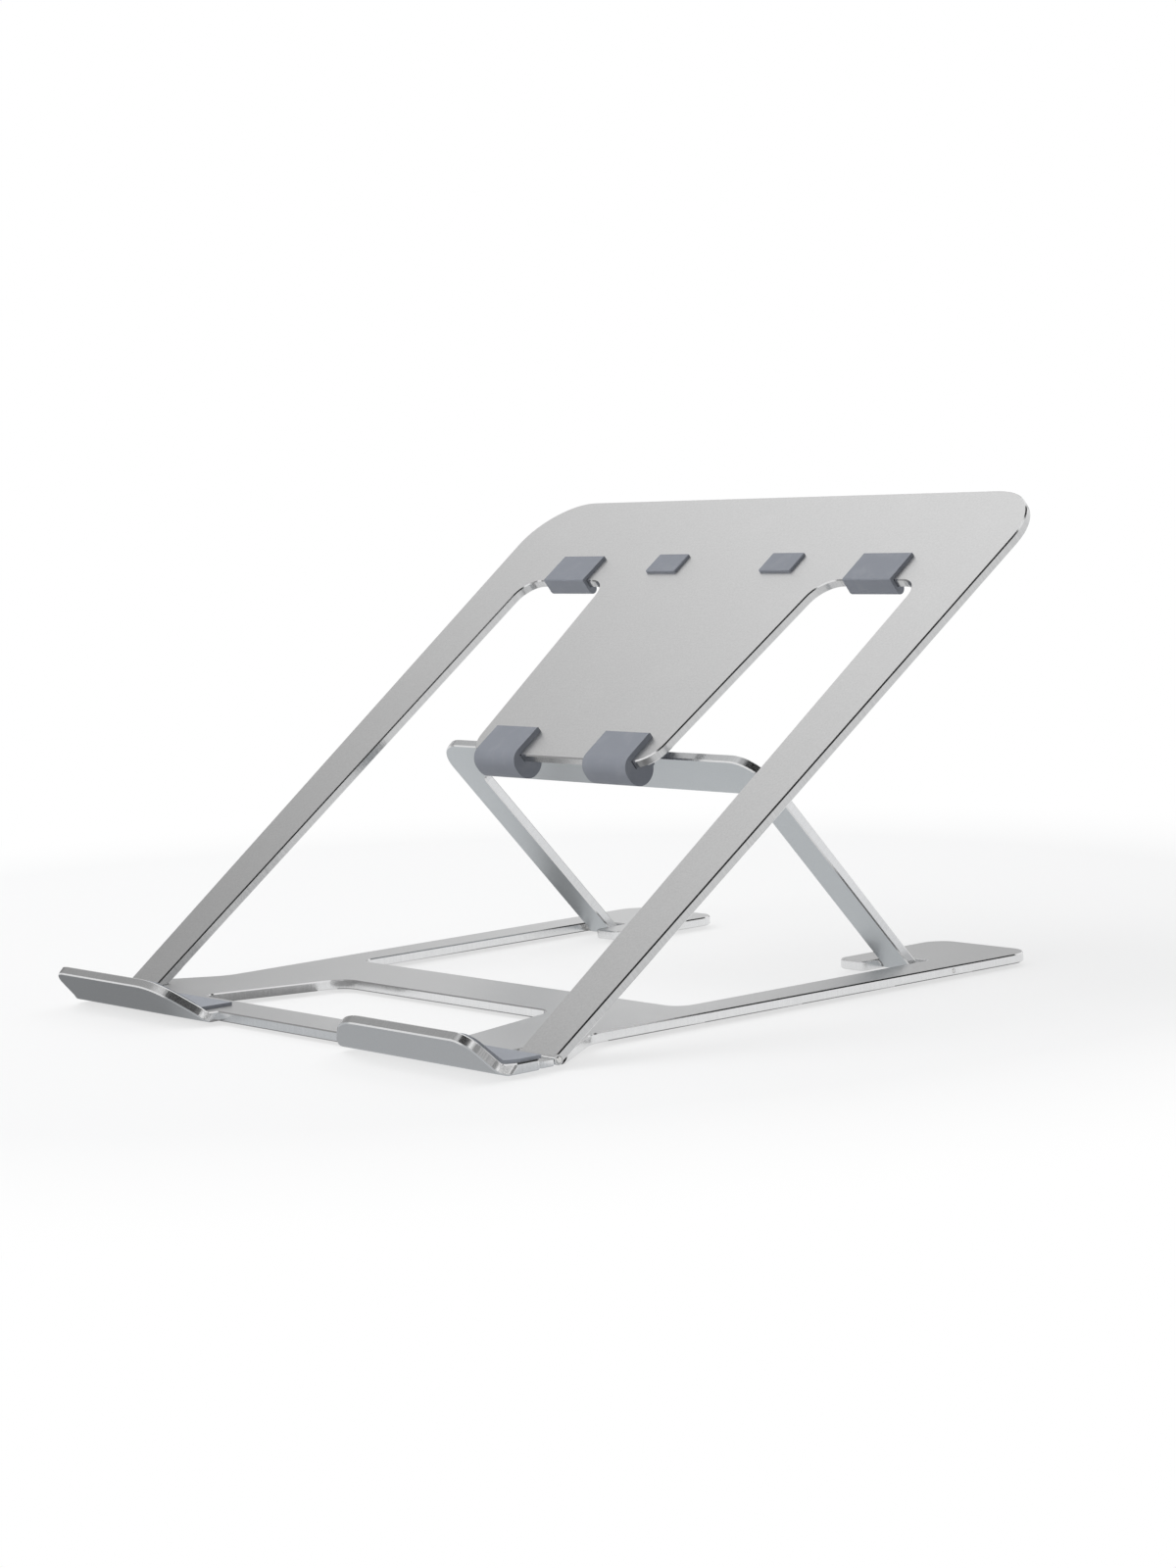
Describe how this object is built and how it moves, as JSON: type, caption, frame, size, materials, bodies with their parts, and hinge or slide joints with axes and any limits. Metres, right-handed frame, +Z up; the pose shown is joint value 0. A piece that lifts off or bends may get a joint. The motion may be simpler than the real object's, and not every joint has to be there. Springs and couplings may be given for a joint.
{
  "type": "portable laptop stand",
  "caption": "Folding sheet metal laptop stand with a tilted panel, bent front lips and a rear support bracket that swings down into the base.",
  "frame": {"origin": "on the table, at the middle of the stand's footprint", "axes": "+X to the right seen from the front, +Y from the front lips to the rear feet, +Z up"},
  "size_m": [0.2476, 0.2478, 0.1559],
  "materials": {
    "base_metal": "bead blasted, with bright cut edges",
    "panel_metal": "bead blasted, with bright cut edges",
    "bracket_metal": "bead blasted, with bright cut edges",
    "grey_rubber": "matt silicone rubber",
    "foot_rubber": "matt silicone rubber",
    "pin_steel": "turned",
    "washer_plastic": "plain"
  },
  "bodies": {
    "base": {"base_plate": "base_metal", "lip_liner_left": "grey_rubber", "lip_liner_right": "grey_rubber", "front_foot_left": "foot_rubber", "front_foot_right": "foot_rubber", "rear_foot_left": "foot_rubber", "rear_foot_right": "foot_rubber", "front_pin_left": "pin_steel", "front_pin_right": "pin_steel", "rear_pin_left": "pin_steel", "rear_pin_right": "pin_steel", "front_washer_left": "washer_plastic", "front_washer_right": "washer_plastic", "inner_washer_left": "washer_plastic", "inner_washer_right": "washer_plastic", "outer_washer_left": "washer_plastic", "outer_washer_right": "washer_plastic"},
    "panel_part": {"panel": "panel_metal", "edge_hook_left": "grey_rubber", "edge_hook_right": "grey_rubber", "window_clip_left": "grey_rubber", "window_clip_right": "grey_rubber", "small_pad_left": "grey_rubber", "small_pad_right": "grey_rubber"},
    "bracket_part": {"support_bracket": "bracket_metal"}
  },
  "joints": [
    {"name": "panel_tilt", "type": "hinge", "parent": "base", "child": "panel_part", "pos_m": [0, -0.09232, 0.0026], "axis": [1, 0, 0], "range_deg": [0, 55]},
    {"name": "bracket_fold", "type": "hinge", "parent": "base", "child": "bracket_part", "pos_m": [0, 0.08558, 0.0026], "axis": [1, 0, 0], "range_deg": [0, 47.85]}
  ],
  "couplings": [
    {"joint": "bracket_fold", "follows": "panel_tilt", "ratio": 0.87}
  ]
}
